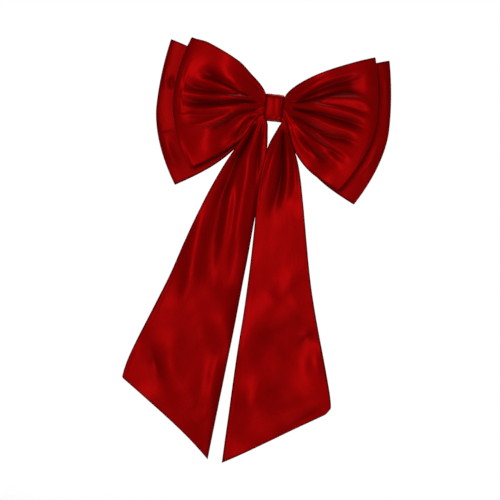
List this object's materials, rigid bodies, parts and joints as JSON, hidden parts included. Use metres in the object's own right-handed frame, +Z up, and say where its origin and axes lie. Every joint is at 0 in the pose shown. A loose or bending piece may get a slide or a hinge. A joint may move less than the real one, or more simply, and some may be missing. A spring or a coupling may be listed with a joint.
{
  "type": "hair bow",
  "caption": "Layered satin hair bow with a smooth knot and long diagonal-cut tails, on a curved spring barrette.",
  "frame": {"origin": "middle of the closed barrette's hair gap, behind the knot", "axes": "+Z up the bow as it is worn, with the tails hanging towards -Z; +X along the bow and the barrette, towards the hinge; -Y out of the bow's front, +Y towards the head"},
  "size_m": [0.2034, 0.0448, 0.3563],
  "materials": {
    "satin": "polyester satin with a soft red sheen",
    "thread": "spun sewing thread",
    "clip_steel": "nickel-plated spring steel",
    "pin_steel": "bright plated"
  },
  "bodies": {
    "bow": {"back_bow": "satin", "front_bow": "satin", "back_bow_gather_thread": "thread", "front_bow_gather_thread": "thread", "sash_waist": "satin", "sash_gather_thread": "thread", "knot_band": "satin", "knot_seam_stitches": "thread", "clip_base_plate": "clip_steel", "hinge_pin": "pin_steel", "tension_bar": "clip_steel", "catch_plate": "clip_steel", "catch_rivet": "pin_steel"},
    "clasp_arm": {"clasp_arm": "clip_steel"},
    "left_tail": {"left_tail": "satin"},
    "right_tail": {"right_tail": "satin"},
    "catch_leg_upper": {"catch_leg_upper": "clip_steel"},
    "catch_leg_lower": {"catch_leg_lower": "clip_steel"}
  },
  "joints": [
    {"name": "clasp_hinge", "type": "hinge", "parent": "bow", "child": "clasp_arm", "pos_m": [0.037, 0.0043, 0], "axis": [0, 0, -1], "range_deg": [0, 75]},
    {"name": "left_tail_swing", "type": "hinge", "parent": "bow", "child": "left_tail", "pos_m": [-0.0112, -0.018, -0.008], "axis": [0, 1, 0], "range_deg": [-6, 8], "stiffness_Nm_per_rad": 0.05, "springref_deg": 3.44},
    {"name": "right_tail_swing", "type": "hinge", "parent": "bow", "child": "right_tail", "pos_m": [0.0112, -0.018, -0.008], "axis": [0, -1, 0], "range_deg": [-6, 8], "stiffness_Nm_per_rad": 0.05, "springref_deg": 3.44},
    {"name": "catch_leg_upper_squeeze", "type": "hinge", "parent": "bow", "child": "catch_leg_upper", "pos_m": [-0.0357, 0.0014, 0.0017], "axis": [-0.9453, 0.3261, 0], "range_deg": [0, 8], "stiffness_Nm_per_rad": 0.001},
    {"name": "catch_leg_lower_squeeze", "type": "hinge", "parent": "bow", "child": "catch_leg_lower", "pos_m": [-0.0357, 0.0014, -0.0017], "axis": [0.9453, -0.3261, 0], "range_deg": [0, 8], "stiffness_Nm_per_rad": 0.001}
  ]
}
